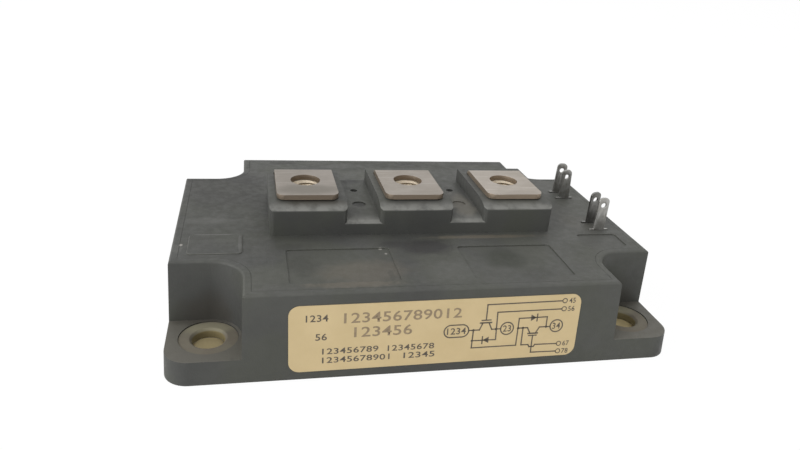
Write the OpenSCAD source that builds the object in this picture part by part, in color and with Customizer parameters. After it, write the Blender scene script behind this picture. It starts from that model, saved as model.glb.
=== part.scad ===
// Half-bridge IGBT power module: plastic case on a copper base plate, three M6
// screw terminals, four signal tabs, and the sealed power circuit inside.
// Frame: origin at the centre of the underside, +X along the length with the
// signal tabs at the +X end, +Y to the rear, +Z up. Millimetres.

/* [Case] */
// Length of the case over the mounting ears
case_l = 110; // [108:0.5:120]
// Width of the case over the mounting ears
case_w = 80; // [78:0.5:90]
// Height of the flat deck above the mounting surface
deck_h = 19; // [18:0.5:24]
// Height of the mounting ears
ear_h = 5.3; // [4.6:0.1:7]
// Corner radius of the ears in plan
corner_r = 5; // [3:0.5:7]
// How far each end leans in at the deck
end_draft = 0.7; // [0.3:0.1:1.2]
// How far the front wall leans back at the deck
front_draft = 1.6; // [0.5:0.1:2]
// How far the rear wall leans in at the deck
rear_draft = 0.7; // [0.3:0.1:1.2]
// Rounding of the deck's outer edge
edge_r = 0.6; // [0.4:0.1:1.5]
// Thickness of the case walls at the deck
wall_t = 2.6; // [2.4:0.1:3.2]
// Width of the rim that stands round the lid
rim_w = 1.6; // [1.3:0.1:1.9]

/* [Mounting] */
// Distance from the case's ends to the mounting holes
hole_end = 8.5; // [8:0.1:9.5]
// Distance from the case's sides to the mounting holes
hole_side = 9; // [8.5:0.1:10]
// Diameter of the mounting holes
hole_d = 6.5; // [5.5:0.1:7]
// Outer diameter of the metal bushes in the ears
bush_d = 12; // [10:0.5:12.5]
// How far the bushes lie below the ears' top face
bush_drop = 0.2; // [0.1:0.05:0.4]
// Radius kept clear round each hole at deck level for a screw head
head_r = 7; // [6.8:0.1:7.5]
// How much narrower that clearance is at the ear
head_draft = 0.4; // [0.2:0.1:0.5]

/* [Base plate] */
// Thickness of the copper base plate
base_t = 3; // [2.5:0.1:3.5]
// How far the base plate stands below the case
base_proud = 0.2; // [0.1:0.05:0.4]
// Width of the plastic skirt round the base plate
skirt_w = 2; // [1.6:0.1:2.2]
// Fitting gap between neighbouring parts
fit_gap = 0.15; // [0.1:0.05:0.25]

/* [Lid] */
// Thickness of the lid plate
lid_t = 2; // [1.6:0.1:2.6]
// How far the lid lies below the rim
lid_drop = 0; // [0:0.1:0.6]
// Width of the seam between the lid and the rim
seam = 0.06; // [0.04:0.01:0.2]
// Depth of the shallow recesses and height of the raised pad
relief = 0.25; // [0.2:0.05:0.6]
// Height of the terminal platform above the deck
platform_h = 4.2; // [3:0.1:5.5]
// Height of the terminal posts above the deck
post_h = 7.5; // [7:0.1:9]
// Width of one terminal post
post_w = 17.4; // [16:0.1:18.5]
// Depth of the terminal platform from front to rear
platform_w = 25; // [24:0.5:28]
// Vertical corner radius of platform and posts
post_r = 1; // [0.6:0.1:2]
// Rounding of the front and rear top edges of platform and posts
post_edge_r = 0.6; // [0.4:0.1:0.9]
// How far the tops of platform and posts fall off towards the front
post_fall = 1.3; // [0.4:0.1:1.6]
// Length over which they fall off
fall_l = 5.5; // [4:0.5:7]

/* [Main terminals] */
// Distance between neighbouring terminal screws
term_pitch = 25; // [24:0.5:27]
// Width of a terminal plate
term_w = 14; // [13:0.1:14.8]
// Thickness of the terminal copper
term_t = 1.2; // [0.8:0.1:1.5]
// Distance from the screw to the plate's front edge
term_front = 9.6; // [8:0.1:10.5]
// Distance from the screw to the plate's rear edge
term_rear = 8.3; // [7.8:0.1:8.6]
// Radius of the plate's front corners
term_r = 1.8; // [1:0.1:2.5]
// Diameter of the screw hole in the plate
term_hole_d = 7; // [6.4:0.1:7.5]
// Width across the flats of the captive nuts
nut_af = 10; // [9.5:0.1:10.2]
// Height of the captive nuts
nut_h = 5; // [4.5:0.1:5.2]
// Tapping diameter of the nuts
nut_hole_d = 5; // [4.6:0.1:5.2]

/* [Signal tabs] */
// Width of a tab blade
tab_w = 2.8; // [2.4:0.1:3.2]
// Thickness of a tab
tab_t = 0.5; // [0.4:0.1:0.8]
// Height of a tab blade above the lid
tab_h = 8.6; // [7:0.1:8.9]
// Diameter of the hole in a tab
tab_hole_d = 1.3; // [1:0.1:1.6]
// Distance of the tabs from the deck's end
tab_inset = 7; // [6:0.1:8]
// Distance between the two tabs of a pair
tab_gap = 4.4; // [4:0.1:5.5]
// Distance between the two pairs
tab_pair_span = 20.8; // [18:0.1:22]
// How far the pairs sit to the rear of the middle
tab_shift = 0.8; // [0:0.1:1.5]

/* [Circuit] */
// Length of a ceramic tile along the module
tile_l = 34; // [33:0.1:34.5]
// Width of a ceramic tile across the module
tile_w = 58; // [57.5:0.5:60]
// Gap between the two tiles
tile_gap = 2.6; // [2:0.1:3]
// Thickness of the ceramic
ceramic_t = 0.63; // [0.38:0.01:1]
// Thickness of the copper on each side of the ceramic
foil_t = 0.3; // [0.2:0.05:0.4]
// Side of a transistor chip
chip_w = 11; // [9:0.2:11]
// Side of a diode chip
diode_w = 8; // [6:0.5:8.5]
// Thickness of the chips
chip_t = 0.36; // [0.2:0.02:0.5]
// Diameter of a bond wire
wire_d = 0.5; // [0.3:0.05:0.6]
// Distance between neighbouring bond wires
wire_gap = 2; // [1.5:0.1:2.5]

/* [Filling] */
// Level of the soft gel above the mounting surface
gel_top = 12.6; // [12.4:0.1:12.8]
// Thickness of the hard resin above the gel
resin_t = 3.2; // [2.9:0.1:3.5]

/* [Label] */
// Length of the label
label_l = 61.5; // [50:0.5:72]
// Height of the label
label_w = 14.6; // [10:0.2:14.8]
// Corner radius of the label
label_r = 3; // [1:0.2:4]
// Thickness of the label
label_t = 0.1; // [0.05:0.01:0.15]
// How far the label lies above the case's lower edge
label_rise = 1.9; // [1:0.1:2.2]
// Angle by which the label was stuck on askew
label_skew = 0.4; // [-1:0.1:1]
// How far to the left of the middle the label was stuck
label_off = 0.2; // [0:0.1:1]

/* [Hidden] */
$fn = 48;
far = 40;                 // reach of cutters beyond the part
arc_steps = 6;            // flats in a quarter-round edge
slice = 0.001;            // thickness of the outlines that the case is hulled from

// Levels
ledge_z = deck_h - lid_drop - lid_t;       // seat of the lid in the case
lid_z = deck_h - lid_drop;                 // top of the lid plate
platform_z = deck_h + platform_h;
post_z = deck_h + post_h;
nut_z = post_z - 0.1 - nut_h;              // floor of the nut pockets
screw_z = ledge_z + 1.3;                   // floor of the screw clearance
ceramic_z = base_t + foil_t;
tracks_z = ceramic_z + ceramic_t;
chip_z = tracks_z + foil_t;
wire_z = chip_z + chip_t;
resin_z = gel_top;
run_z = gel_top + 0.2;                     // height of the signal leads
run_h = 2.5;

// Places
hole_x = case_l / 2 - hole_end;
hole_y = case_w / 2 - hole_side;
deck_x = case_l / 2 - end_draft;           // ends of the deck
deck_front = -case_w / 2 + front_draft;
deck_rear = case_w / 2 - rear_draft;
base_l = case_l - 2 * (skirt_w + fit_gap);
base_w = case_w - 2 * (skirt_w + fit_gap);
term_x = [-term_pitch, 0, term_pitch];
platform_l = 2 * term_pitch + post_w;
tab_x = deck_x - tab_inset;
tab_y = [for (pair = [-1, 1], side = [-1, 1])
    tab_shift + pair * tab_pair_span / 2 + side * tab_gap / 2];
tab_set = [[0, 0, 0], [4, -3, 9], [5, -5, -4], [0, 2, -6]]; // lean about X, Y, Z
tile_x = (tile_gap + tile_l) / 2;
shoulder_w = tab_w + 2;
shoulder_top = lid_z + 0.3;
blade_z = shoulder_top - 0.1;              // where a tab's blade starts
tail_z = run_z + 0.2;

// Tracks on a tile, as distances from the tile's middle towards its outer end
edge_gap = 0.8;
track_gap = 0.8;
emitter_l = 5;
gate_l = 1.4;
emitter_u = -tile_l / 2 + edge_gap;                  // inner edge of the emitter track
collector_u = emitter_u + emitter_l + track_gap;     // inner edge of the collector field
sense_u = tile_l / 2 - edge_gap - gate_l;            // inner edge of the sense track
gate_u = sense_u - track_gap - gate_l;               // inner edge of the gate track
collector_l = gate_u - track_gap - collector_u;
diode_u = collector_u + 1 + diode_w / 2;
chip_u = collector_u + collector_l - 0.7 - chip_w / 2;
row_first = -tile_w / 2 + 1 + chip_w / 2;
row_third = term_rear - term_t - 0.8 - chip_w / 2;    // the terminals' feet stand behind it
row_last = tile_w / 2 - 2.8 - chip_w / 2;
row_y = [row_first, (row_first + row_third) / 2, row_third, row_last];
wire_from = emitter_u + emitter_l / 2;
wire_mid = diode_u - 0.6;
wire_on = diode_u + 0.6;
wire_to = chip_u - 0.8;
gate_pad_u = chip_u + chip_w / 2 - 1;
hop_l = max(wire_mid - wire_from, wire_to - wire_on);
wire_top = wire_z + hop_l / 2 + wire_d / 2;

// Feet of the main terminals
foot_l = 4;
foot_w = 10;
link_z = wire_top + 0.4;                   // underside of the link bar
knee_z = gel_top + 1.4;                    // where a leg narrows
link_rear = row_last - 2 * wire_gap + 0.6; // rear edge of the link bar
bend_r = 0.3;                              // inner radius of the terminals' bend
nut_chamfer = 0.5;                         // countersink at both ends of a nut's bore

function arc(cx, cz, r, from, to, first = 0) =
    [for (i = [first:arc_steps]) let (a = from + (to - from) * i / arc_steps)
        [cx + r * cos(a), cz + r * sin(a)]];
function lean_at(z, draft) = draft * (z - base_proud) / (deck_h - base_proud);

// ---- shapes used by several parts ----

module rounded_rect(l, w, r) {
    square([l - 2 * r, w], center = true);
    square([l, w - 2 * r], center = true);
    for (x = [-1, 1], y = [-1, 1])
        translate([x * (l / 2 - r), y * (w / 2 - r)]) circle(r = r);
}

// Block whose top falls off in a wide curve towards the front
module crowned_block(l, z1) {
    y0 = -platform_w / 2;
    e = post_edge_r;
    sweep = (fall_l * fall_l + post_fall * post_fall) / (2 * post_fall);
    tilt = asin(fall_l / sweep);
    fall_y = y0 + e - e * sin(tilt) + fall_l;
    edge_z = z1 - post_fall - e * cos(tilt);
    difference() {
        translate([0, 0, lid_z])
            linear_extrude(z1 - lid_z) rounded_rect(l, platform_w, post_r);
        translate([-l, 0, 0])
            rotate([90, 0, 90])
                linear_extrude(2 * l) {
                    polygon(concat([[y0 - 1, z1 + 1], [y0 - 1, edge_z]],
                        arc(y0 + e, edge_z, e, 180, 90 + tilt),
                        arc(fall_y, z1 - sweep, sweep, 90 + tilt, 90, 1),
                        [[fall_y, z1 + 1]]));
                    polygon(concat([[-y0 + 1, z1 + 1], [-y0 + 1, z1 - e]],
                        arc(-y0 - e, z1 - e, e, 0, 90), [[-y0 - e, z1 + 1]]));
                }
    }
}

// Low block with rounded vertical corners and a rounded top edge
module pad_block(l, w, z0, z1, r, edge) {
    hull()
        for (x = [-1, 1], y = [-1, 1])
            translate([x * (l / 2 - r), y * (w / 2 - r), 0])
                rotate_extrude($fn = 32)
                    polygon(concat([[0, z0], [r, z0]],
                        arc(r - edge, z1 - edge, edge, 0, 90), [[0, z1]]));
}

module at_holes() {
    for (x = [-1, 1], y = [-1, 1])
        translate([x * hole_x, y * hole_y, 0]) children();
}

module at_corners() {
    for (x = [0, 1], y = [0, 1])
        mirror([x, 0, 0]) mirror([0, y, 0]) translate([hole_x, hole_y, 0]) children();
}

// Outline of the deck, moved inwards by an inset, with the corner notches
module deck_outline(inset) {
    r = head_r + inset;
    difference() {
        translate([-deck_x + inset, deck_front + inset])
            square([2 * (deck_x - inset), deck_rear - deck_front - 2 * inset]);
        at_corners() {
            circle(r = r);
            translate([0, -r]) square([far, r + far]);
            translate([-r, 0]) square([r + far, far]);
        }
    }
}

// ---- case ----

// Leaning outer form of the case before the corners are cut away
module case_envelope() {
    levels = concat([[base_proud, 0]],
        [for (p = arc(edge_r, deck_h - edge_r, edge_r, 180, 90)) [p[1], p[0]]]);
    hull()
        for (level = levels)
            let (z = level[0], inset = level[1],
                x = case_l / 2 - lean_at(z, end_draft) - inset,
                y0 = -case_w / 2 + lean_at(z, front_draft) + inset,
                y1 = case_w / 2 - lean_at(z, rear_draft) - inset)
                translate([0, (y0 + y1) / 2, z])
                    linear_extrude(slice)
                        rounded_rect(2 * x, y1 - y0, corner_r);
}

// Section of a corner notch, from d0 outwards to its leaning wall
module notch_section(d0) {
    polygon(concat([[d0, ear_h], [head_r - head_draft, ear_h]],
        arc(head_r + edge_r, deck_h - edge_r, edge_r, 180, 90),
        [[head_r + edge_r, deck_h + 1], [d0, deck_h + 1]]));
}

module notch() {
    rotate_extrude() notch_section(0);
    rotate([90, 0, 90]) linear_extrude(far) mirror([1, 0]) notch_section(-far);
    translate([0, far, 0])
        rotate([90, 0, 0]) linear_extrude(far) mirror([1, 0]) notch_section(-far);
}

module case_frame() {
    color("dimgray")
        difference() {
            case_envelope();
            at_corners() notch();
            translate([0, 0, -1])
                linear_extrude(base_t + 1)
                    rounded_rect(base_l + 2 * fit_gap, base_w + 2 * fit_gap,
                        corner_r - skirt_w + fit_gap);
            translate([0, 0, base_t - 1])
                linear_extrude(deck_h) deck_outline(wall_t);
            translate([0, 0, ledge_z])
                linear_extrude(deck_h) deck_outline(rim_w);
            at_holes() cylinder(h = deck_h, d = bush_d);
        }
}

module bush(x, y) {
    top = ear_h - bush_drop;
    chamfer = 0.5;
    color("darkkhaki")
        translate([x * hole_x, y * hole_y, 0])
            rotate_extrude()
                polygon([[hole_d / 2, base_t], [bush_d / 2, base_t], [bush_d / 2, top],
                    [hole_d / 2 + chamfer, top], [hole_d / 2, top - chamfer]]);
}

module base_plate() {
    color("silver")
        difference() {
            linear_extrude(base_t) rounded_rect(base_l, base_w, corner_r - skirt_w);
            at_holes() translate([0, 0, -1]) cylinder(h = base_t + 2, d = hole_d);
        }
}

// ---- lid ----

recess_l = 22.7;
recess_w = 15;
recess_x = 19.25;                 // middle of each front recess
recess_back = 7;                  // from the platform to the recesses
pad_l = 11.4;
pad_w = 9.5;
pad_inset = 3.3;                  // from the deck's end to the pad
pad_back = 3;                     // from the notch to the pad
dip_l = 10.3;
dip_w = 6.6;
dip_inset = 4;
mark_y = 4.4;                     // ejector marks between the posts

module lid_relief() {
    platform_front = -platform_w / 2;
    for (x = [-1, 1])
        translate([x * recess_x, platform_front - recess_back - recess_w / 2, lid_z - relief])
            linear_extrude(relief + 1) rounded_rect(recess_l, recess_w, 0.8);
    translate([deck_x - dip_inset - dip_l / 2, -hole_y + head_r + pad_back + dip_w / 2,
            lid_z - relief])
        linear_extrude(relief + 1) rounded_rect(dip_l, dip_w, 0.8);
}

module ejector_marks() {
    for (x = [-1, 1]) {
        translate([x * term_pitch / 2, -mark_y, platform_z - 0.25])
            cylinder(h = 2, d = 3.2);
        translate([x * term_pitch / 2, mark_y, platform_z - 1.5])
            cylinder(h = 3, d = 1.8);
    }
}

// Slots for the terminals' legs and room for the ends of the screws
module terminal_cuts() {
    for (x = term_x)
        translate([x, 0, 0]) {
            translate([0, 0, screw_z]) cylinder(h = post_h, d = term_hole_d);
            translate([-term_w / 2 - fit_gap, term_rear - term_t - bend_r, 0])
                cube([term_w + 2 * fit_gap, term_t + bend_r + fit_gap, 2 * deck_h]);
        }
}

module lid() {
    color("dimgray")
        difference() {
            union() {
                translate([0, 0, ledge_z])
                    linear_extrude(lid_t) deck_outline(rim_w + seam);
                translate([-deck_x + pad_inset + pad_l / 2,
                        -hole_y + head_r + pad_back + pad_w / 2, 0])
                    pad_block(pad_l, pad_w, ledge_z, lid_z + relief, 1, relief * 0.9);
            }
            lid_relief();
            terminal_cuts();
            for (y = tab_y)
                translate([tab_x - shoulder_w / 2 - fit_gap, y - tab_t / 2 - fit_gap, 0])
                    cube([shoulder_w + 2 * fit_gap, tab_t + 2 * fit_gap, 2 * deck_h]);
        }
}

// Platform with the three posts, on the middle of the lid
module terminal_block() {
    pocket_d = (nut_af + 2 * fit_gap) / cos(30);
    color("dimgray")
        difference() {
            union() {
                crowned_block(platform_l, platform_z);
                for (x = term_x)
                    translate([x, 0, 0]) crowned_block(post_w, post_z);
            }
            ejector_marks();
            terminal_cuts();
            for (x = term_x)
                translate([x, 0, nut_z]) cylinder(h = post_h, d = pocket_d, $fn = 6);
        }
}

// ---- main terminals ----

// Screw plate, bent down behind the screw into a leg that ends at knee_z
module terminal_top() {
    bend = term_t + bend_r;
    difference() {
        translate([0, 0, post_z])
            linear_extrude(term_t)
                difference() {
                    translate([0, (term_rear - bend - term_front) / 2 + term_r])
                        rounded_rect(term_w, term_rear - bend + term_front + 2 * term_r, term_r);
                    translate([-term_w, term_rear - bend]) square(2 * term_w);
                }
        translate([0, 0, post_z - 1]) cylinder(h = term_t + 2, d = term_hole_d);
    }
    translate([-term_w / 2, term_rear - bend, post_z + term_t - bend])
        rotate([90, 0, 90])
            linear_extrude(term_w)
                intersection() {
                    difference() {
                        circle(r = bend);
                        circle(r = bend - term_t);
                    }
                    square(bend);
                }
    translate([-term_w / 2, term_rear - term_t, knee_z])
        cube([term_w, term_t, post_z + term_t - bend - knee_z]);
}

// Leg from the knee down to a foot on a track between u0 and u1
module terminal_leg(x0, x1, from_x) {
    low = min(x0, from_x - term_w / 2);
    high = max(x1, from_x + term_w / 2);
    translate([low, term_rear - term_t, knee_z]) cube([high - low, term_t, term_t]);
    translate([x0, term_rear - term_t, chip_z])
        cube([x1 - x0, term_t, knee_z - chip_z]);
    translate([x0, term_rear - term_t, chip_z]) cube([x1 - x0, term_t + foot_l, term_t]);
}

module terminal(i) {
    color("tan")
        translate([term_x[i], 0, 0]) terminal_top();
}

foot_u = collector_u + collector_l / 2 - foot_w / 2;

// Left terminal: lower collector, linked to the upper emitter
module terminal_left() {
    x1 = -tile_x - foot_u;
    emitter_x = tile_x + emitter_u;
    terminal(0);
    color("tan") {
        terminal_leg(x1 - foot_w, x1, term_x[0]);
        translate([x1 - foot_w, term_rear - term_t, link_z])
            cube([foot_w, link_rear - term_rear + term_t, term_t]);
        translate([x1 - foot_w, link_rear - foot_l, link_z])
            cube([emitter_x + emitter_l - x1 + foot_w, foot_l, term_t]);
        translate([emitter_x, link_rear - term_t, chip_z])
            cube([emitter_l, term_t, link_z - chip_z]);
        translate([emitter_x, link_rear - foot_l, chip_z])
            cube([emitter_l, foot_l, term_t]);
    }
}

// Middle terminal: lower emitter
module terminal_middle() {
    x1 = -tile_x - emitter_u;
    terminal(1);
    color("tan") terminal_leg(x1 - emitter_l, x1, term_x[1]);
}

// Right terminal: upper collector
module terminal_right() {
    x0 = tile_x + foot_u;
    terminal(2);
    color("tan") terminal_leg(x0, x0 + foot_w, term_x[2]);
}

module nut(i) {
    c = nut_chamfer;
    r = nut_hole_d / 2;
    color("lightgray")
        translate([term_x[i], 0, nut_z])
            difference() {
                cylinder(h = nut_h, d = nut_af / cos(30), $fn = 6);
                rotate_extrude()
                    polygon([[0, -1], [r + c + 1, -1], [r, c], [r, nut_h - c],
                        [r + c + 1, nut_h + 1], [0, nut_h + 1]]);
            }
}

// ---- signal tabs ----

// Blade above the shoulder, with a rounded tip and a hole
module tab_blade() {
    tip = 1.1;
    h = tab_h + lid_z - blade_z;
    translate([0, tab_t / 2, 0])
        rotate([90, 0, 0])
            linear_extrude(tab_t)
                difference() {
                    union() {
                        translate([-tab_w / 2, 0]) square([tab_w, h - tip]);
                        translate([-tab_w / 2 + tip, 0]) square([tab_w - 2 * tip, h]);
                        for (x = [-1, 1])
                            translate([x * (tab_w / 2 - tip), h - tip]) circle(r = tip);
                    }
                    translate([0, h - 2]) circle(d = tab_hole_d);
                }
}

module tab(i) {
    color("silver")
        translate([tab_x, tab_y[i], 0]) {
            translate([0, 0, blade_z]) rotate(tab_set[i]) tab_blade();
            translate([-shoulder_w / 2, -tab_t / 2, ledge_z - 0.5])
                cube([shoulder_w, tab_t, shoulder_top - ledge_z + 0.5]);
            translate([-tab_w / 2, -tab_t / 2, tail_z])
                cube([tab_w, tab_t, ledge_z - tail_z]);
        }
}

// Strip welded behind a tab's tail, run level to a track and down onto it
module signal_lead(i, x) {
    w = gate_l;
    x0 = min(x, tab_x) - w / 2;
    translate([0, tab_y[i] + tab_t / 2, 0]) {
        translate([x0, 0, run_z]) cube([tab_x + tab_w / 2 - x0, tab_t, run_h]);
        translate([x0, 0, chip_z]) cube([w, tab_t, run_z - chip_z]);
    }
}

module signal_leads() {
    gate_x = tile_x + gate_u + gate_l / 2;
    sense_x = tile_x + sense_u + gate_l / 2;
    color("silver") {
        signal_lead(0, gate_x);
        signal_lead(1, sense_x);
        signal_lead(2, -gate_x);
        signal_lead(3, -sense_x);
    }
}

// ---- circuit ----

// Places children on one tile, with +X towards the tile's outer end
module on_tile(side) {
    if (side < 0) mirror([1, 0, 0]) translate([tile_x, 0, 0]) children();
    else translate([tile_x, 0, 0]) children();
}

module back_foil(side) {
    color("sienna") on_tile(side)
        translate([-tile_l / 2 + edge_gap, -tile_w / 2 + edge_gap, base_t])
            cube([tile_l - 2 * edge_gap, tile_w - 2 * edge_gap, foil_t]);
}

module ceramic(side) {
    color("white") on_tile(side)
        translate([-tile_l / 2, -tile_w / 2, ceramic_z]) cube([tile_l, tile_w, ceramic_t]);
}

module tracks(side) {
    long = tile_w - 2 * edge_gap;
    color("sienna") on_tile(side)
        for (track = [[emitter_u, emitter_l], [collector_u, collector_l],
                [gate_u, gate_l], [sense_u, gate_l]])
            translate([track[0], -long / 2, tracks_z]) cube([track[1], long, foil_t]);
}

module chips(side, u, w) {
    on_tile(side)
        for (y = row_y)
            translate([u - w / 2, y - w / 2, chip_z]) cube([w, w, chip_t]);
}

module transistors(side) { color("slategray") chips(side, chip_u, chip_w); }
module diodes(side) { color("darkslategray") chips(side, diode_u, diode_w); }

// Half-round loop of wire between two places on one level
module wire_loop(u0, u1) {
    translate([(u0 + u1) / 2, 0, wire_z])
        rotate([90, 0, 0])
            rotate_extrude(angle = 180, $fn = 24)
                translate([(u1 - u0) / 2, 0]) circle(d = wire_d, $fn = 8);
}

module bond_wires(side) {
    stub = wire_z - chip_z;
    color("gainsboro") on_tile(side)
        for (y = row_y) {
            for (k = [-1, 0, 1])
                translate([0, y + k * wire_gap, 0]) {
                    wire_loop(wire_from, wire_mid);
                    wire_loop(wire_on, wire_to);
                    translate([wire_from, 0, chip_z])
                        cylinder(h = stub, d = wire_d, $fn = 8);
                }
            translate([0, y + 2 * wire_gap, 0]) {
                wire_loop(gate_pad_u, gate_u + gate_l / 2);
                translate([gate_u + gate_l / 2, 0, chip_z])
                    cylinder(h = stub, d = wire_d, $fn = 8);
            }
        }
}

// ---- filling ----

// Space that the circuit takes up, with room for the bond wires
module circuit_space() {
    for (side = [-1, 1])
        on_tile(side) {
            translate([-tile_l / 2, -tile_w / 2, base_t - 1])
                cube([tile_l, tile_w, chip_z - base_t + 1]);
            for (y = row_y)
                translate([wire_from - wire_d, y - chip_w / 2, chip_z - 0.1])
                    cube([gate_u + gate_l - wire_from + wire_d, chip_w, wire_top - chip_z + 0.1]);
        }
}

module conductors() {
    terminal_left();
    terminal_middle();
    terminal_right();
    signal_leads();
    for (i = [0:3]) tab(i);
}

module gel() {
    color("lightcyan")
        difference() {
            translate([0, 0, base_t])
                linear_extrude(gel_top - base_t) deck_outline(wall_t);
            circuit_space();
            conductors();
        }
}

module resin() {
    color("black")
        difference() {
            translate([0, 0, resin_z]) linear_extrude(resin_t) deck_outline(wall_t);
            conductors();
        }
}

module label() {
    lean = atan(front_draft / (deck_h - base_proud));
    color("burlywood")
        translate([0, -case_w / 2, base_proud + slice])
            rotate([90 - lean, 0, 0])
                translate([-label_off, label_rise + label_w / 2, 0])
                    rotate([0, 0, label_skew])
                        linear_extrude(label_t) rounded_rect(label_l, label_w, label_r);
}

base_plate();
case_frame();
lid();
terminal_block();
bush(-1, -1);  // bush_front_left
bush(1, -1);  // bush_front_right
bush(-1, 1);  // bush_rear_left
bush(1, 1);  // bush_rear_right
terminal_left();
terminal_middle();
terminal_right();
nut(0);  // nut_left
nut(1);  // nut_middle
nut(2);  // nut_right
tab(0);  // tab_front_outer
tab(1);  // tab_front_inner
tab(2);  // tab_rear_inner
tab(3);  // tab_rear_outer
signal_leads();
back_foil(-1);  // left_back_foil
ceramic(-1);  // left_ceramic
tracks(-1);  // left_tracks
back_foil(1);  // right_back_foil
ceramic(1);  // right_ceramic
tracks(1);  // right_tracks
transistors(-1);  // left_transistors
transistors(1);  // right_transistors
diodes(-1);  // left_diodes
diodes(1);  // right_diodes
bond_wires(-1);  // left_bond_wires
bond_wires(1);  // right_bond_wires
gel();
resin();
label();
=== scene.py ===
import math

import bmesh
import bpy
from mathutils import Matrix, Vector


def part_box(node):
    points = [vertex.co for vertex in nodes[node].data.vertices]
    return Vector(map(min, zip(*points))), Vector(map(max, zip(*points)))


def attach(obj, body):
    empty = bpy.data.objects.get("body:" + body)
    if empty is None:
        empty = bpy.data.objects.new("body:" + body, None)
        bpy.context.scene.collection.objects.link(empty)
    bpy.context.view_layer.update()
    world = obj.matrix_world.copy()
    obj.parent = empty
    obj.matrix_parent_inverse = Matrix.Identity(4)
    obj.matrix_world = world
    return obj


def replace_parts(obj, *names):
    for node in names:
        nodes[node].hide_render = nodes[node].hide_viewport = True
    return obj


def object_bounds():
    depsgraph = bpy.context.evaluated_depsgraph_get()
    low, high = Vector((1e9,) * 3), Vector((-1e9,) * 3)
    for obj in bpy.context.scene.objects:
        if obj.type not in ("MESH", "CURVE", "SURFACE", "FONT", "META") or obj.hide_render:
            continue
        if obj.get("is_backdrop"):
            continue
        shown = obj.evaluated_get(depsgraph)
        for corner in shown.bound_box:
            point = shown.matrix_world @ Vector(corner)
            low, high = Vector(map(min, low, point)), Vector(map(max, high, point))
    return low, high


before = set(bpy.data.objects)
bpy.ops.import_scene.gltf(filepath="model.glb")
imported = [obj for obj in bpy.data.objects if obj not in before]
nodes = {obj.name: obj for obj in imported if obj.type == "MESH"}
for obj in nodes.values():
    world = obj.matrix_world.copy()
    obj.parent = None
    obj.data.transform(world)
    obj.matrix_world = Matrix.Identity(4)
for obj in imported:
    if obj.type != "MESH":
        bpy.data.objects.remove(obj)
cadLow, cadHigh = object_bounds()
mm = 0.001
print("frame loaded:", len(nodes), "nodes")


# Node helpers: every input takes a number, a colour or another node's output

def feed(tree, socket, value):
    if isinstance(value, bpy.types.NodeSocket):
        tree.links.new(value, socket)
    elif socket.type == "RGBA" and len(value) == 3:
        socket.default_value = (*value, 1)
    else:
        socket.default_value = value


def addNode(tree, kind, inputs=None, **settings):
    made = tree.nodes.new(kind)
    for key, value in settings.items():
        setattr(made, key, value)
    for key, value in (inputs or {}).items():
        feed(tree, made.inputs[key], value)
    return made


def calc(tree, operation, a, b=0.0):
    return addNode(tree, "ShaderNodeMath", {0: a, 1: b}, operation=operation).outputs[0]


def times(tree, a, b):
    return calc(tree, "MULTIPLY", a, b)


def blendColour(tree, factor, a, b, kind="MIX"):
    made = addNode(tree, "ShaderNodeMix", data_type="RGBA", blend_type=kind)
    for place, value in ((0, factor), (6, a), (7, b)):
        feed(tree, made.inputs[place], value)
    return made.outputs[2]


def spread(tree, value, low, high, to=(0.0, 1.0)):
    return addNode(tree, "ShaderNodeMapRange",
                   {0: value, 1: low, 2: high, 3: to[0], 4: to[1]},
                   interpolation_type="SMOOTHSTEP").outputs[0]


def noiseAt(tree, where, scale, detail=3.0, roughness=0.5, distortion=0.0):
    return addNode(tree, "ShaderNodeTexNoise",
                   {"Vector": where, "Scale": scale, "Detail": detail,
                    "Roughness": roughness, "Distortion": distortion}).outputs[0]


def stretched(tree, where, factors):
    made = addNode(tree, "ShaderNodeVectorMath", {0: where, 1: factors}, operation="MULTIPLY")
    return made.outputs[0]


def placeInMm(tree):
    here = addNode(tree, "ShaderNodeTexCoord").outputs["Object"]
    return stretched(tree, here, (1000, 1000, 1000))


# A soft-edged mark: its middle and half-sizes in millimetres, how strong and which colour,
# how fine and how ragged its border is, and how much of it is solid
def mark(at, size, strength, colour, grain=0.3, ragged=0.8, core=0.4, onTop=False):
    return {"at": at, "size": size, "strength": strength, "colour": colour,
            "grain": grain, "ragged": ragged, "core": core, "onTop": onTop}


# How much of a mark lies on the surface: its strength inside, 0 outside
def spotAt(tree, where, spot):
    away = addNode(tree, "ShaderNodeVectorMath", {0: where, 1: spot["at"]}, operation="SUBTRACT")
    away = stretched(tree, away.outputs[0], tuple(1 / s for s in spot["size"]))
    far = addNode(tree, "ShaderNodeVectorMath", {0: away}, operation="LENGTH").outputs["Value"]
    broken = calc(tree, "SUBTRACT", noiseAt(tree, where, spot["grain"], 4), 0.5)
    far = calc(tree, "ADD", far, times(tree, broken, spot["ragged"]))
    return times(tree, spread(tree, far, 1.0, spot["core"]), spot["strength"])


def lookingUp(tree):
    normal = addNode(tree, "ShaderNodeNewGeometry").outputs["Normal"]
    return addNode(tree, "ShaderNodeSeparateXYZ", {0: normal}).outputs[2]


# Rubbed strip with painted highlight on edges that are rounded towards the top
def wornEdgeAndHighlight(tree, where, up, amount):
    strip = times(tree, spread(tree, up, 0.3, 0.55), spread(tree, up, 0.985, 0.9))
    patchy = spread(tree, noiseAt(tree, where, 0.35, 4, 0.6), 0.3, 0.6, (0.35, 1.0))
    return times(tree, times(tree, strip, patchy), amount)


def startMaterial(name):
    made = bpy.data.materials.new(name)
    made.use_nodes = True
    tree = made.node_tree
    shader = tree.nodes["Principled BSDF"]
    return made, tree, shader, placeInMm(tree)


def addBump(tree, shader, height, distance):
    bump = addNode(tree, "ShaderNodeBump", {"Height": height, "Distance": distance})
    feed(tree, bump.inputs["Strength"], 1.0)
    feed(tree, shader.inputs["Normal"], bump.outputs[0])


# Housing plastic: grey moulded, dusty on top, with handling marks, painted shade and painted
# light

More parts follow.
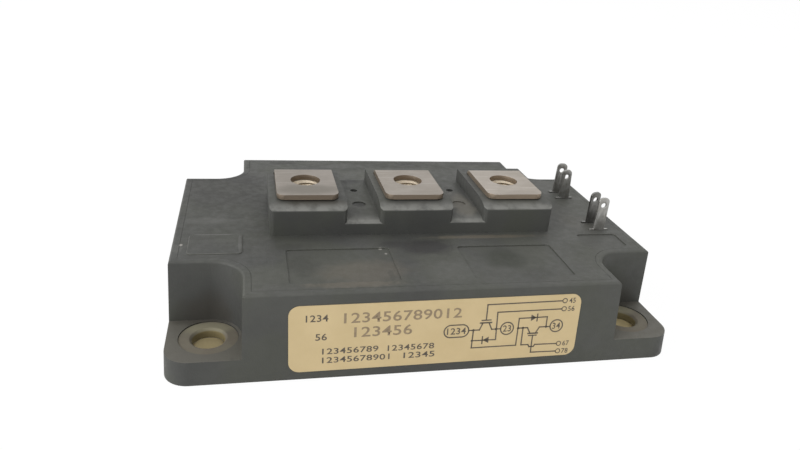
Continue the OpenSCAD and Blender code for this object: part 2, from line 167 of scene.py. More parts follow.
housing = {
    "deep": (0.056, 0.057, 0.0535),      # clean plastic
    "worn": (0.077, 0.0785, 0.071),      # rubbed plastic
    "olive": (0.068, 0.071, 0.058),      # old grease
    "dust": (0.12, 0.117, 0.1),          # dust on faces that look up
    "edge": (0.2, 0.2, 0.185),           # rubbed edges, with painted edge highlight
    "wall": (0.085, 0.087, 0.074),       # painted light on the small steps in the lid
    "roughness": 0.56,
    "specular": 0.33,
    "roughSpread": (-0.08, 0.14),        # patchy gloss round that roughness
    "grain": 0.00003,                    # depth of the moulded grain in metres
    "grease": 0.6,                       # how strongly grease, smears and dust show
    "smear": 0.1,
    "dustAmount": 0.12,
}

# Colours for stains and dirt, and for painted shade and painted light
dirtAndPaintedLight = {
    "beige": (0.13, 0.115, 0.09), "dark": (0.034, 0.033, 0.032), "dim": (0.046, 0.047, 0.04),
    "green": (0.04, 0.043, 0.034), "light": (0.12, 0.12, 0.112), "pale": (0.42, 0.4, 0.37),
    "brown": (0.045, 0.04, 0.032), "soil": (0.1, 0.095, 0.078), "chalk": (0.16, 0.15, 0.125),
}
earPlaces = [(x, y) for x in (-46.5, 46.5) for y in (-31, 31)]  # middles of the mounting holes
postPlaces = (-25, 0, 25)                                       # middles of the posts
deckMarks = [
    mark((-15, -30, 19), (12, 7, 4), 0.5, "beige", grain=0.25),
    mark((-18, -35.3, 19), (13, 1.8, 4), 0.6, "beige", grain=0.6),
    mark((-27.5, -27, 19), (4, 6, 4), 0.6, "dim", grain=0.35),
    mark((-9.5, -32, 19), (0.9, 4, 2), 0.4, "dim", grain=0.7, ragged=1.3),
    mark((-29.5, -18, 19), (5, 2, 4), 0.6, "dim", grain=0.6, ragged=1.4),
    mark((-6.5, -18, 19), (5.5, 2, 4), 0.6, "dark", grain=0.5, ragged=1.1),
    mark((1.4, -19.4, 19), (8, 4.8, 4), 0.95, "dark", grain=0.35, ragged=0.8, core=0.5),
    mark((16, -14.7, 19), (18, 1.2, 3), 0.8, "beige", grain=0.5),
    mark((17.4, -25.4, 19), (6.8, 6.2, 4), 0.9, "green", grain=0.3, ragged=0.6),
    mark((-44, 17, 19), (17, 20, 4), 0.75, "dark", grain=0.2, ragged=0.5, core=0.3),
    mark((-43, 0, 19), (18, 26, 4), 0.45, "dim", grain=0.2, ragged=0.5, core=0.4),
    mark((2, 34, 19), (32, 6, 4), 0.8, "dim", grain=0.25, ragged=0.5),
    mark((42, 5, 19), (14, 32, 4), 0.2, "light", grain=0.2, ragged=0.5),
    mark((23, -33, 19), (6, 4, 4), 0.35, "dim", grain=0.3),
    mark((4, -31, 19), (7, 6, 4), 0.3, "light", grain=0.25),
    mark((44, -7, 19), (6, 8, 4), 0.3, "soil", grain=0.3),
    mark((44, 17, 19), (7, 9, 4), 0.35, "light", grain=0.25),
    mark((-28.5, 36.3, 19), (6, 1.6, 3), 0.65, "dark", grain=0.5),
    mark((7.7, 36, 19), (4.5, 1.8, 3), 0.65, "dark", grain=0.5),
    mark((30, 37, 19), (9, 1.6, 3), 0.6, "dark", grain=0.5),
    mark((-11, 34, 19), (7, 3, 3), 0.35, "light", grain=0.4),
    mark((-46, 18, 19), (8, 5, 3), 0.45, "dim", grain=0.3),
    mark((-47.6, 4.9, 19), (2.6, 1.3, 3), 0.8, "dim", grain=0.9, ragged=1.5),
    mark((-41, 4.8, 19), (2.2, 1.4, 3), 0.8, "dim", grain=0.9, ragged=1.5),
    mark((-47, -3.8, 19), (8, 2.6, 3), 0.45, "light", grain=0.4),
    # Light lines along the raised pad's rim: painted edge highlight with wear
    mark((-45.6, -11.7, 19.2), (5.2, 0.4, 1.5), 0.9, "light", ragged=0.4, core=0.7),
    mark((-40.2, -16.5, 19.2), (0.4, 4.8, 1.5), 0.5, "light", ragged=0.3, core=0.7),
    mark((-45.5, -21.2, 19.2), (5.6, 0.4, 1.5), 0.4, "light", ragged=0.3, core=0.7),
    mark((-52.9, -18, 19), (1.3, 2.6, 3), 0.4, "light", grain=1.0, ragged=1.2),
    mark((-52.4, -16.2, 19), (0.5, 0.7, 2), 0.75, "pale", ragged=0.3),
    mark((-9.8, -19.7, 19), (0.55, 0.5, 2), 0.6, "pale", ragged=0.3),
    mark((-8.9, -21.9, 19), (0.4, 0.5, 2), 0.6, "pale", ragged=0.3),
]
earMarks = [
    mark((x, y, 5.3), (14, 14, 1.6), 0.6, "chalk", grain=0.4, core=0.7, onTop=True)
    for x, y in earPlaces
]
# Painted shade: brown darkening low on the notch walls beside the mounting ears
notchPaintedShade = [
    mark((x, 0.78 * y, 5.5), (9, 3.5, 8.5), 0.6, "brown", grain=0.3, ragged=0.6)
    for x, y in earPlaces
]
blockMarks = [
    mark((x, -4.4, 23), (1.8, 1.8, 1), 0.75, "dark", ragged=0.15, core=0.8)
    for x in (-12.5, 12.5)
] + [
    mark((-13, -12.5, 23.2), (4, 2.2, 1.5), 0.5, "soil", grain=0.4),
    mark((13, -5, 23.2), (3.6, 10, 1.5), 0.7, "chalk", grain=0.3),
    mark((11, 6, 23.2), (3.5, 8, 1.5), 0.4, "light", grain=0.4),
    mark((-13, 10.5, 23.2), (3, 2.6, 1.5), 0.7, "dark", grain=0.4, ragged=0.4),
] + [
    # Painted shadow: post tops darker just in front of the plates' front edges
    mark((x, -8.5, 26.3), (8.2, 1.3, 1.2), 0.45, "dim", grain=0.4, ragged=0.4)
    for x in postPlaces
] + [
    # Painted light: the posts' left walls are made lighter
    mark((x - 8.7, 0, 24.8), (1.1, 13, 2.4), 0.6, "light", grain=0.4, ragged=0.3)
    for x in postPlaces
] + [
    mark((-24, -10.4, 26), (9.5, 2.6, 1.5), 0.8, "brown", grain=0.4, ragged=0.4),
]


def makeHousing(name, spots, edgeWearAndHighlight, wallWear=0.0):
    made, tree, shader, where = startMaterial(name)
    cloud = noiseAt(tree, where, 0.035, 3, 0.5, 0.4)
    colour = blendColour(tree, spread(tree, cloud, 0.35, 0.68), housing["deep"], housing["worn"])
    greasy = spread(tree, noiseAt(tree, where, 0.07), 0.42, 0.6, (0.0, housing["grease"]))
    colour = blendColour(tree, greasy, colour, housing["olive"])
    up = lookingUp(tree)
    dusty = spread(tree, noiseAt(tree, where, 0.12), 0.25, 0.75, (0.0, housing["dustAmount"]))
    dusty = times(tree, spread(tree, up, 0.3, 0.95), dusty)
    colour = blendColour(tree, dusty, colour, housing["dust"])
    smear = noiseAt(tree, stretched(tree, where, (0.05, 0.5, 0.4)), 1.0, 4, 0.6)
    smear = spread(tree, smear, 0.55, 0.8, (0.0, housing["smear"]))
    colour = blendColour(tree, smear, colour, housing["worn"])
    for spot in spots:
        amount = spotAt(tree, where, spot)
        if spot["onTop"]:
            amount = times(tree, amount, spread(tree, up, 0.7, 0.95))
        colour = blendColour(tree, amount, colour, dirtAndPaintedLight[spot["colour"]])
    # Painted light: the steep faces of the lid's small steps are made lighter
    if wallWear:
        steep = spread(tree, up, 0.9, 0.3, (0.0, wallWear))
        colour = blendColour(tree, steep, colour, housing["wall"])
    # Worn edges with painted edge highlight
    colour = blendColour(tree, wornEdgeAndHighlight(tree, where, up, edgeWearAndHighlight), colour, housing["edge"])
    feed(tree, shader.inputs["Base Color"], colour)
    patchy = noiseAt(tree, where, 0.6, 4, 0.6)
    rough = [housing["roughness"] + r for r in housing["roughSpread"]]
    feed(tree, shader.inputs["Roughness"], spread(tree, patchy, 0.2, 0.8, rough))
    shader.inputs["Specular IOR Level"].default_value = housing["specular"]
    addBump(tree, shader, noiseAt(tree, where, 3.2, 3, 0.6), housing["grain"])
    return made


# Metals: base colour, tarnish on the sides, fine scratches along one direction, worn edges with
# painted highlight

def makeMetal(name, finish):
    made, tree, shader, where = startMaterial(name)
    scratch = noiseAt(tree, stretched(tree, where, finish["along"]), 1.0, 4, 0.7)
    cloud = noiseAt(tree, where, finish["cloud"], 4, 0.6)
    colour = blendColour(tree, spread(tree, cloud, 0.3, 0.7), finish["colour"], finish["shade"])
    streaks = (0.0, finish.get("streaks", 0.35))
    for key, end in (("bright", 0.75), ("shade", 0.3)):
        colour = blendColour(tree, spread(tree, scratch, 0.5, end, streaks), colour, finish[key])
    for spot in finish.get("spots", []):
        colour = blendColour(tree, spotAt(tree, where, spot), colour, spot["colour"])
    up = lookingUp(tree)
    side = spread(tree, calc(tree, "ABSOLUTE", up), 0.75, 0.25, (0.0, finish["sideAmount"]))
    colour = blendColour(tree, side, colour, finish["side"])
    # Worn edges with painted edge highlight in the bright colour
    wornAndLitEdge = wornEdgeAndHighlight(tree, where, up, finish.get("edgeWearAndHighlight", 0.0))
    colour = blendColour(tree, wornAndLitEdge, colour, finish["bright"])
    feed(tree, shader.inputs["Base Color"], colour)
    shader.inputs["Metallic"].default_value = finish["metallic"]
    rough = (finish["roughness"] - 0.07, finish["roughness"] + 0.1)
    feed(tree, shader.inputs["Roughness"], spread(tree, scratch, 0.2, 0.8, rough))
    addBump(tree, shader, scratch, finish["depth"])
    return made


# Painted light: a lighter patch on the rear part of each bush ring
bushPaintedLight = [
    mark((x, y + 3.6, 5.2), (6.5, 3, 1.5), 0.9, (0.26, 0.24, 0.165), ragged=0.3)
    for x, y in earPlaces
]
metals = {
    "screwPlate": {
        "colour": (0.33, 0.295, 0.26), "shade": (0.26, 0.23, 0.195),
        "bright": (0.52, 0.49, 0.45), "side": (0.25, 0.195, 0.14), "sideAmount": 0.85,
        "along": (0.06, 1.9, 1.0), "cloud": 0.12, "metallic": 0.7, "roughness": 0.44,
        "depth": 0.00001, "streaks": 0.6, "edgeWearAndHighlight": 0.9,
    },
    "nutSteel": {
        "colour": (0.6, 0.52, 0.4), "shade": (0.48, 0.4, 0.3), "bright": (0.8, 0.74, 0.64),
        "side": (0.55, 0.46, 0.34), "sideAmount": 0.4, "along": (2.0, 2.0, 2.0), "cloud": 0.8,
        "metallic": 0.5, "roughness": 0.42, "depth": 0.000005,
    },
    "tabTin": {
        "colour": (0.34, 0.34, 0.33), "shade": (0.22, 0.215, 0.2), "bright": (0.6, 0.6, 0.58),
        "side": (0.3, 0.28, 0.25), "sideAmount": 0.2, "along": (5.0, 5.0, 0.5), "cloud": 0.7,
        "metallic": 0.9, "roughness": 0.36, "depth": 0.000008,
    },
    "bushBrass": {
        "colour": (0.175, 0.16, 0.12), "shade": (0.15, 0.13, 0.1), "bright": (0.2, 0.185, 0.14),
        "side": (0.2, 0.16, 0.068), "sideAmount": 0.9, "along": (0.3, 0.3, 1.0), "cloud": 0.25,
        "metallic": 0.1, "roughness": 0.75, "depth": 0.00001, "spots": bushPaintedLight,
    },
    "basePlateNickel": {
        "colour": (0.6, 0.57, 0.53), "shade": (0.5, 0.47, 0.43), "bright": (0.75, 0.73, 0.7),
        "side": (0.25, 0.2, 0.09), "sideAmount": 0.9, "along": (0.05, 2.0, 1.0), "cloud": 0.06,
        "metallic": 0.9, "roughness": 0.4, "depth": 0.00001,
    },
    "trackCopper": {
        "colour": (0.72, 0.36, 0.22), "shade": (0.6, 0.28, 0.16), "bright": (0.85, 0.5, 0.34),
        "side": (0.6, 0.3, 0.18), "sideAmount": 0.3, "along": (1.0, 1.0, 1.0), "cloud": 0.3,
        "metallic": 1.0, "roughness": 0.4, "depth": 0.000005,
    },
    "chipSilicon": {
        "colour": (0.09, 0.1, 0.12), "shade": (0.06, 0.065, 0.08), "bright": (0.2, 0.21, 0.24),
        "side": (0.05, 0.05, 0.06), "sideAmount": 0.5, "along": (0.5, 0.5, 0.5), "cloud": 0.4,
        "metallic": 0.7, "roughness": 0.25, "depth": 0.000002,
    },
    "wireAluminium": {
        "colour": (0.72, 0.72, 0.74), "shade": (0.6, 0.6, 0.62), "bright": (0.9, 0.9, 0.92),
        "side": (0.66, 0.66, 0.68), "sideAmount": 0.2, "along": (2.0, 2.0, 2.0), "cloud": 1.0,
        "metallic": 1.0, "roughness": 0.3, "depth": 0.000002,
    },
}


# Plain bodies: mottled colour, grain and their own gloss

def makePlain(name, finish):
    made, tree, shader, where = startMaterial(name)
    cloud = noiseAt(tree, where, finish["cloud"], 5, 0.6)
    colour = blendColour(tree, spread(tree, cloud, 0.3, 0.7), finish["colour"], finish["shade"])
    feed(tree, shader.inputs["Base Color"], colour)
    shader.inputs["Roughness"].default_value = finish["roughness"]
    shader.inputs["Specular IOR Level"].default_value = finish.get("specular", 0.5)
    addBump(tree, shader, noiseAt(tree, where, finish["grain"], 3), finish["depth"])
    return made


plains = {
    "labelPaper": {
        "colour": (0.635, 0.5, 0.28), "shade": (0.59, 0.46, 0.25), "cloud": 0.12, "grain": 5.0,
        "roughness": 0.5, "depth": 0.000006, "specular": 0.4,
    },
    "labelInk": {
        "colour": (0.075, 0.06, 0.045), "shade": (0.12, 0.1, 0.075), "cloud": 1.5, "grain": 6.0,
        "roughness": 0.55, "depth": 0.000004,
    },
    "numberInk": {
        "colour": (0.24, 0.18, 0.11), "shade": (0.31, 0.235, 0.145), "cloud": 2.0, "grain": 6.0,
        "roughness": 0.55, "depth": 0.000004,
    },
    "tileCeramic": {
        "colour": (0.86, 0.86, 0.84), "shade": (0.8, 0.8, 0.77), "cloud": 0.3, "grain": 4.0,
        "roughness": 0.6, "depth": 0.000004,
    },
    "softGel": {
        "colour": (0.72, 0.78, 0.78), "shade": (0.66, 0.72, 0.72), "cloud": 0.1, "grain": 0.3,
        "roughness": 0.12, "depth": 0.00001,
    },
    "hardResin": {
        "colour": (0.03, 0.03, 0.032), "shade": (0.045, 0.045, 0.045), "cloud": 0.1,
        "grain": 0.5, "roughness": 0.25, "depth": 0.00001,
    },
}

finishes = {name: makeMetal(name, finish) for name, finish in metals.items()}

# The same plating, cleaner or duller from piece to piece
plated = {
    "terminal_left": ("screwPlate", 0.84), "terminal_right": ("screwPlate", 1.2),
    "tab_front_outer": ("tabTin", 1.25), "tab_front_inner": ("tabTin", 0.62),
}
ownMarks = {
    "terminal_left": [mark((-25, -6.2, 27.7), (10, 4, 2), 0.75, (0.15, 0.135, 0.11), ragged=0.5)],
}
for name, (base, share) in plated.items():
    finish = dict(metals[base])
    for key in ("colour", "shade", "bright", "side"):
        finish[key] = tuple(share * c for c in finish[key])
    finish["spots"] = ownMarks.get(name, [])
    finishes[name] = makeMetal(base + "_" + name, finish)
finishes.update({name: makePlain(name, finish) for name, finish in plains.items()})
finishes["casePlastic"] = makeHousing("casePlastic", deckMarks + earMarks + notchPaintedShade, 0.1)
finishes["lidPlastic"] = makeHousing("lidPlastic", deckMarks, 0.5, 0.8)
finishes["blockPlastic"] = makeHousing("blockPlastic", blockMarks, 1.0)
print("materials made:", len(finishes))

sides = ("left", "middle", "right")
bushes = ["bush_front_left", "bush_front_right", "bush_rear_left", "bush_rear_right"]
tabs = ["tab_front_outer", "tab_front_inner", "tab_rear_inner", "tab_rear_outer"]
dress = {
    "casePlastic": ["case_frame"],
    "lidPlastic": ["lid"],
    "blockPlastic": ["terminal_block"],
    "nutSteel": ["nut_" + side for side in sides],
    "screwPlate": ["terminal_middle"],
    "tabTin": ["tab_rear_inner", "tab_rear_outer", "signal_leads"],
    "bushBrass": bushes,
    "basePlateNickel": ["base_plate"],
    "trackCopper": ["left_back_foil", "left_tracks", "right_back_foil", "right_tracks"],
    "tileCeramic": ["left_ceramic", "right_ceramic"],
    "chipSilicon": ["left_transistors", "right_transistors", "left_diodes", "right_diodes"],
    "wireAluminium": ["left_bond_wires", "right_bond_wires"],
    "softGel": ["gel"],
    "hardResin": ["resin"],
    "labelPaper": ["label"],
}
dress.update({name: [name] for name in plated})
for finish, names in dress.items():
    for name in names:
        nodes[name].data.materials.clear()
        nodes[name].data.materials.append(finishes[finish])


# Softened edges on the parts that show: width in millimetres; seams stay closed
softEdges = {"case_frame": 0.5, "lid": 0.2, "terminal_block": 0.45}
softEdges.update({"terminal_" + side: 0.25 for side in sides})
softEdges.update({name: 0.08 for name in tabs})
softEdges.update({name: 0.15 for name in bushes})
edge = {"sharpest": math.radians(38), "weld": 0.000002, "nearRim": 0.001, "notchReach": 0.0105}
lidLow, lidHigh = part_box("lid")
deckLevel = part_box("case_frame")[1].z
low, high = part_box("bush_rear_right")
holeX, holeY = (low.x + high.x) / 2, (low.y + high.y) / 2


# How much of the full softening an edge gets, from its middle
def edgeShare(name, at):
    if name == "case_frame":
        return 0.0 if at.z > deckLevel - 0.00005 else 1.0
    if name == "lid":
        toRim = min(at.x - lidLow.x, lidHigh.x - at.x, at.y - lidLow.y, lidHigh.y - at.y)
        toNotch = min(abs(at.x) - holeX, abs(at.y) - holeY) + edge["notchReach"]
        return 0.0 if toRim < edge["nearRim"] or toNotch > 0 else 1.0
    return 1.0


# Same key for the same place, to a fiftieth of a millimetre
def placeKey(at):
    return tuple(round(c * 50000) for c in at)


def softenEdges(name, width):
    piece = nodes[name]
    for face in piece.data.polygons:
        face.use_smooth = True
    bm = bmesh.new()
    bm.from_mesh(piece.data)
    bmesh.ops.remove_doubles(bm, verts=bm.verts, dist=edge["weld"])
    shares = {}
    for line in bm.edges:
        if len(line.link_faces) == 2 and line.calc_face_angle() > edge["sharpest"]:
            at = (line.verts[0].co + line.verts[1].co) / 2
            shares[placeKey(at)] = edgeShare(name, at)
    bm.free()
    spots = piece.data.vertices
    layers = piece.data.attributes
    weights = layers.new("bevel_weight_edge", "FLOAT", "EDGE")
    sharp = layers.get("sharp_edge") or layers.new("sharp_edge", "BOOLEAN", "EDGE")
    for line in piece.data.edges:
        at = (spots[line.vertices[0]].co + spots[line.vertices[1]].co) / 2
        share = shares.get(placeKey(at))
        weights.data[line.index].value = share or 0.0
        sharp.data[line.index].value = share == 0.0
    weld = piece.modifiers.new("weld", "WELD")
    weld.merge_threshold = edge["weld"]
    bevel = piece.modifiers.new("softEdge", "BEVEL")
    bevel.width = width * mm
    bevel.segments = 3
    bevel.limit_method = "WEIGHT"
    bevel.use_clamp_overlap = True
    weighted = piece.modifiers.new("evenShading", "WEIGHTED_NORMAL")
    weighted.keep_sharp = True
    weighted.weight = 100


for name, width in softEdges.items():
    softenEdges(name, width)
print("edges softened")


# New pieces are made in millimetres and scaled as they are finished

def finishPiece(name, bm, finish, smooth=True):
    bmesh.ops.scale(bm, vec=(mm, mm, mm), verts=bm.verts)
    bmesh.ops.recalc_face_normals(bm, faces=bm.faces)
    mesh = bpy.data.meshes.new(name)
    bm.to_mesh(mesh)
    bm.free()
    for face in mesh.polygons:
        face.use_smooth = smooth
    mesh.materials.append(finishes[finish])
    piece = bpy.data.objects.new(name, mesh)
    bpy.context.scene.collection.objects.link(piece)
    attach(piece, "root")
    return piece


# Captive nuts with a real thread

nut = {"acrossFlats": 10.0, "majorRadius": 3.0, "minorRadius": 2.5, "pitch": 1.0,
       "steps": 48, "corner": 0.7, "mouth": 0.15, "countersink": 0.5}


def hexReach(angle):
    part = (angle + math.pi / 6) % (math.pi / 3) - math.pi / 6
    return nut["acrossFlats"] / 2 / math.cos(part)


def makeNut(name, cadName):
    low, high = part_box(cadName)
    x, y = (low.x + high.x) / 2 / mm, (low.y + high.y) / 2 / mm
    z0, z1 = low.z / mm, high.z / mm
    n = nut["steps"]
    bm = bmesh.new()

    def ring(z, reach):
        spots = []
        for i in range(n):
            a = 2 * math.pi * i / n
            r = reach(a)
            spots.append(bm.verts.new((x + r * math.sin(a), y + r * math.cos(a), z)))
        return spots

    def join(a, b):
        for i in range(n):
            j = (i + 1) % n
            bm.faces.new((a[i], a[j], b[j], b[i]))

    bore = nut["majorRadius"] + nut["mouth"]
    cornerReach = nut["acrossFlats"] / 2 * 0.98
    rings = [ring(z0, lambda a: bore), ring(z0, lambda a: min(hexReach(a), cornerReach)),
             ring(z0 + nut["corner"], hexReach), ring(z1 - nut["corner"], hexReach),
             ring(z1, lambda a: min(hexReach(a), cornerReach)), ring(z1, lambda a: bore)]
    for a, b in zip(rings, rings[1:]):
        join(a, b)
    turns = round((z1 - z0) / nut["pitch"]) + 1
    crest, root = [], []
    for i in range(turns * n + 1):
        a = 2 * math.pi * i / n
        z = z0 + nut["pitch"] * i / n
        for row, key, lift in ((crest, "minorRadius", -0.5), (root, "majorRadius", 0)):
            h = min(max(z + lift * nut["pitch"], z0), z1)
            nearEnd = max(0, nut["countersink"] - min(h - z0, z1 - h))
            r = max(nut[key], nut["minorRadius"] + nearEnd + nut["mouth"])
            row.append(bm.verts.new((x + r * math.sin(a), y + r * math.cos(a), h)))
    for i in range(turns * n):
        bm.faces.new((crest[i], crest[i + 1], root[i + 1], root[i]))
        if i + n + 1 < len(crest):
            bm.faces.new((root[i], root[i + 1], crest[i + n + 1], crest[i + n]))
    piece = finishPiece(name, bm, "nutSteel", smooth=False)
    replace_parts(piece, cadName)
    return piece


for side in sides:
    makeNut("threadedNut_" + side, "nut_" + side)
print("nuts threaded")


# Print on the label, drawn in millimetres on the label's own plane

printing = {"skew": math.radians(0.4), "lift": 0.02, "line": 0.28, "thin": 0.2}
sheet = {"corner": 2.2, "thickness": 0.1, "steps": 10}

label = nodes["label"]
facing = sum((f.normal * f.area for f in label.data.polygons if f.normal.y < -0.5), Vector())
facing.normalize()
corners = [v.co for v in label.data.vertices]
middle = sum(corners, Vector()) / len(corners)
outer = max(corners, key=lambda c: c.dot(facing))
middle += facing * (outer - middle).dot(facing)
across = Vector((1, 0, 0))
along = facing.cross(across)
right = across * math.cos(printing["skew"]) + along * math.sin(printing["skew"])
upward = along * math.cos(printing["skew"]) - across * math.sin(printing["skew"])

# The sheet again, with the tighter corners of the real one
reachRight = max((c - middle).dot(right) for c in corners) / mm
reachUp = max((c - middle).dot(upward) for c in corners) / mm
outline = []
for i, (cu, cv) in enumerate(((1, 1), (-1, 1), (-1, -1), (1, -1))):
    for j in range(sheet["steps"] + 1):
        a = math.pi / 2 * (i + j / sheet["steps"])
        outline.append((cu * (reachRight - sheet["corner"]) + sheet["corner"] * math.cos(a),
                        cv * (reachUp - sheet["corner"]) + sheet["corner"] * math.sin(a)))
bm = bmesh.new()
top, under = [], []
for u, v in outline:
    for row, depth in ((top, 0), (under, sheet["thickness"])):
        row.append(bm.verts.new(middle / mm + right * u + upward * v - facing * depth))
bm.faces.new(top)
bm.faces.new(under[::-1])
for i in range(len(outline)):
    j = (i + 1) % len(outline)
    bm.faces.new((top[j], top[i], under[i], under[j]))
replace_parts(finishPiece("labelSheet", bm, "labelPaper", smooth=False), "label")


class Drawing:
    def __init__(self):
        self.bm = bmesh.new()

    def place(self, u, v):
        return (middle + right * u * mm + upward * v * mm + facing * printing["lift"] * mm) / mm

    def polygon(self, spots):
        self.bm.faces.new([self.bm.verts.new(self.place(u, v)) for u, v in spots])

    def line(self, spots, width=printing["line"]):
        for (u0, v0), (u1, v1) in zip(spots, spots[1:]):
            share = width / 2 / math.hypot(u1 - u0, v1 - v0)
            du, dv = (u1 - u0) * share, (v1 - v0) * share
            self.polygon([(u0 - du - dv, v0 - dv + du), (u1 + du - dv, v1 + dv + du),
                          (u1 + du + dv, v1 + dv - du), (u0 - du + dv, v0 - dv - du)])

    def arc(self, u, v, reach, start, end, width=printing["line"], steps=16):
        inner, outer = reach - width / 2, reach + width / 2
        for i in range(steps):
            a, b = (start + (end - start) * k / steps for k in (i, i + 1))
            self.polygon([(u + r * math.cos(t), v + r * math.sin(t))
                          for r, t in ((inner, a), (outer, a), (outer, b), (inner, b))])

    def dot(self, u, v, reach, steps=16):
        turns = [2 * math.pi * i / steps for i in range(steps)]
        self.polygon([(u + reach * math.cos(t), v + reach * math.sin(t)) for t in turns])

    # Ring drawn out between two middles
    def capsule(self, u0, u1, v, reach):
        self.arc(u1, v, reach, -math.pi / 2, math.pi / 2)
        self.arc(u0, v, reach, math.pi / 2, 3 * math.pi / 2)
        if u1 > u0:
            self.line([(u0, v + reach), (u1, v + reach)])
            self.line([(u0, v - reach), (u1, v - reach)])

    def diode(self, u, v, way):
        self.polygon([(u - 0.75 * way, v + 0.75), (u - 0.75 * way, v - 0.75),
                      (u + 0.55 * way, v)])
        self.line([(u + 0.65 * way, v + 0.8), (u + 0.65 * way, v - 0.8)])


# The half-bridge circuit: two switches with their diodes between the contacts
art = Drawing()
for u0, u1 in ((2.3, 4.75), (14.6, 14.6), (25.75, 25.75)):
    art.capsule(u0, u1, 0.0, 1.42)
for u, v in ((26.95, 5.85), (27.0, 3.95), (26.9, -4.35), (26.95, -6.2)):
    art.arc(u, v, 0.5, 0, 2 * math.pi, printing["thin"], steps=32)
for u, v in ((7.2, 0), (7.1, -2.45), (12.15, 0), (17.1, -0.1), (18.2, -0.1), (23.4, -0.1)):
    art.dot(u, v, 0.28)
art.line([(6.2, 0), (8.5, 0), (9.1, 1.5)])
art.line([(10.5, 1.5), (11.2, 0), (13.1, 0)])
art.line([(8.6, 1.6), (11.0, 1.6)], 0.34)
art.line([(8.9, 2.2), (10.8, 2.2)])
art.line([(9.8, 2.2), (9.8, 5.75), (26.4, 5.85)])
art.line([(7.2, 0), (7.1, -4.15), (17.0, -4.15), (17.1, 2.2), (23.4, 2.25), (23.4, -0.1)])
art.line([(7.1, -2.45), (12.3, -2.5), (12.15, 3.9), (26.4, 3.95)])
art.diode(10.0, -2.45, -1)
art.diode(20.5, 2.2, 1)
art.line([(17.1, -0.1), (19.2, -0.1), (19.9, -1.4)])
art.line([(21.2, -1.4), (21.9, -0.1), (24.3, -0.1)])
art.line([(19.5, -1.5), (21.6, -1.5)], 0.34)
art.line([(19.7, -2.0), (21.4, -2.0)])
art.line([(20.6, -2.0), (20.6, -6.1), (26.4, -6.2)])
art.line([(18.2, -0.1), (18.2, -4.15), (19.8, -4.2), (20.1, -4.7),
          (21.1, -4.7), (21.4, -4.25), (26.4, -4.35)])
finishPiece("labelCircuit", art.bm, "labelInk", smooth=False)

# Plain numbers stand where the rows of print are; left end, foot, width and height of each row
rows = [
    ("123456789012", -19.9, 3.1, 24.3, 2.3, "numberInk"),
    ("123456", -17.8, -0.1, 11.9, 2.3, "numberInk"),
    ("1234", -27.4, 3.75, 4.4, 1.5, "labelInk"),
    ("56", -25.5, -0.4, 2.3, 1.5, "labelInk"),
    ("123456789", -24.1, -3.6, 11.4, 1.35, "labelInk"),
    ("12345678", -10.8, -3.7, 9.8, 1.35, "labelInk"),
    ("12345678901", -24.1, -5.6, 13.8, 1.35, "labelInk"),
    ("12345", -7.4, -5.6, 6.6, 1.35, "labelInk"),
    ("1234", 1.5, -0.75, 4.1, 1.5, "labelInk"),
    ("23", 13.7, -0.75, 1.8, 1.5, "labelInk"),
    ("34", 24.85, -0.75, 1.8, 1.5, "labelInk"),
    ("45", 27.9, 5.25, 1.5, 1.2, "labelInk"),
    ("56", 27.9, 3.35, 1.5, 1.2, "labelInk"),
    ("67", 27.8, -4.95, 1.5, 1.2, "labelInk"),
    ("78", 27.8, -6.8, 1.5, 1.2, "labelInk"),
]
turn = Matrix((right, upward, facing)).transposed().to_4x4()
for count, (text, u, v, wide, tall, ink) in enumerate(rows):
    curve = bpy.data.curves.new("labelNumber", "FONT")
    curve.body = text
    curve.space_character = 1.05
    curve.offset = 0.012      # a little bolder
    curve.resolution_u = 3
    written = bpy.data.objects.new("labelNumberDraft", curve)
    bpy.context.scene.collection.objects.link(written)
    bpy.context.view_layer.update()
    shown = written.evaluated_get(bpy.context.evaluated_depsgraph_get())
    mesh = bpy.data.meshes.new_from_object(shown)
    bpy.data.objects.remove(written)
    xs, ys = [p.co.x for p in mesh.vertices], [p.co.y for p in mesh.vertices]
    stretch = Matrix.Diagonal((wide / (max(xs) - min(xs)), tall / (max(ys) - min(ys)), 1, 1))
    fit = stretch @ Matrix.Translation((-min(xs), -min(ys), 0))
    flat = Matrix.Scale(mm, 4) @ Matrix.Translation((u, v, printing["lift"])) @ fit
    mesh.transform(Matrix.Translation(middle) @ turn @ flat)
    mesh.materials.clear()
    mesh.materials.append(finishes[ink])
    piece = bpy.data.objects.new("labelNumber_" + str(count), mesh)
    bpy.context.scene.collection.objects.link(piece)
    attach(piece, "root")
print("label printed")


# Camera, floor, light

view = {"lens": 30.14, "sensor": 36, "near": 0.01, "at": (-0.03784, -0.15023, 0.08500),
        "across": Vector((0.97592905, -0.20309624, 0.07946329)),
        "down": Vector((-0.01280847, -0.41711082, -0.90876538))}
camera = bpy.data.objects.new("camera", bpy.data.cameras.new("camera"))
camera.data.lens = view["lens"]
camera.data.sensor_width = view["sensor"]
camera.data.clip_start = view["near"]
turned = Matrix((view["across"], -view["down"], -view["across"].cross(view["down"])))
camera.matrix_world = Matrix.Translation(view["at"]) @ turned.transposed().to_4x4()
bpy.context.scene.collection.objects.link(camera)
bpy.context.scene.camera = camera

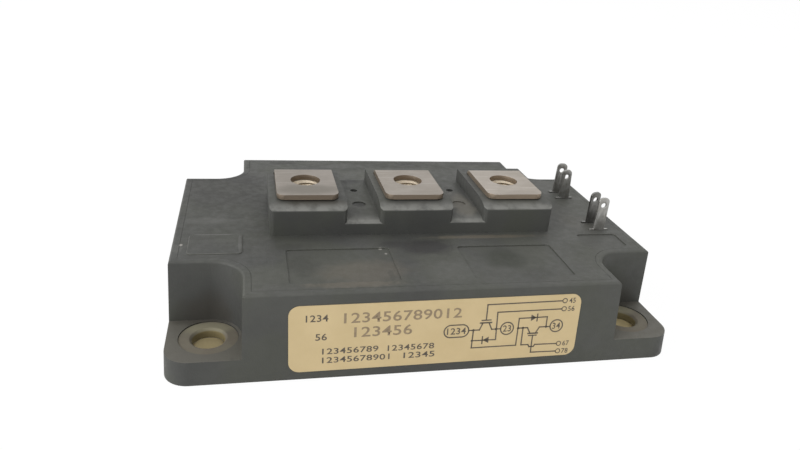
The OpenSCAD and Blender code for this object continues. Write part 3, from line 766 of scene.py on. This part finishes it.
studio = {"floorColour": (0.9, 0.9, 0.9), "floorGlow": 0.95, "world": 0.5, "lamps": [
    {"name": "overheadLamp", "at": (0.1, 0.35, 1.0), "size": 1.1, "power": 2.6},
    {"name": "sideLamp", "at": (-1.0, -0.5, 0.6), "size": 1.2, "power": 11.0},
    {"name": "frontLamp", "at": (-0.1, -1.2, 0.5), "size": 1.0, "power": 0.8},
]}


# 1 for rays that reach the camera straight, by a mirror or through glass
def shownRay(tree):
    path = addNode(tree, "ShaderNodeLightPath").outputs
    shown = calc(tree, "MAXIMUM", path["Is Camera Ray"], path["Is Glossy Ray"])
    return calc(tree, "MAXIMUM", shown, path["Is Transmission Ray"])


world = bpy.data.worlds.new("studioWorld")
bpy.context.scene.world = world
world.use_nodes = True
tree = world.node_tree
sky = tree.nodes["Background"]
seen = shownRay(tree)
feed(tree, sky.inputs["Color"], (1.0, 1.0, 1.0))
feed(tree, sky.inputs["Strength"], spread(tree, seen, 0.0, 1.0, (studio["world"], 1.0)))

for lamp in studio["lamps"]:
    light = bpy.data.lights.new(lamp["name"], "AREA")
    light.energy = lamp["power"]
    light.size = lamp["size"]
    placed = bpy.data.objects.new(lamp["name"], light)
    placed.location = lamp["at"]
    placed.rotation_euler = (-Vector(lamp["at"])).to_track_quat("-Z", "Y").to_euler()
    bpy.context.scene.collection.objects.link(placed)

bm = bmesh.new()
bmesh.ops.create_grid(bm, x_segments=8, y_segments=8, size=4)
mesh = bpy.data.meshes.new("studioFloor")
bm.to_mesh(mesh)
bm.free()
floor = bpy.data.objects.new("studioFloor", mesh)
floor.location = (0, 0, cadLow[2] - 0.00005)
bpy.context.scene.collection.objects.link(floor)
made, tree, shader, where = startMaterial("floorPaper")
shader.inputs["Base Color"].default_value = (*studio["floorColour"], 1)
shader.inputs["Roughness"].default_value = 0.8
shader.inputs["Specular IOR Level"].default_value = 0.2
glow = addNode(tree, "ShaderNodeEmission", {"Color": (1.0, 1.0, 1.0), "Strength": 1.02})
shown = times(tree, shownRay(tree), studio["floorGlow"])
mixed = addNode(tree, "ShaderNodeMixShader", {0: shown, 1: shader.outputs[0], 2: glow.outputs[0]})
feed(tree, tree.nodes["Material Output"].inputs[0], mixed.outputs[0])
mesh.materials.append(made)
floor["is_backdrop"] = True

bpy.context.scene.view_settings.view_transform = "Standard"
print("studio ready")

low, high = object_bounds()
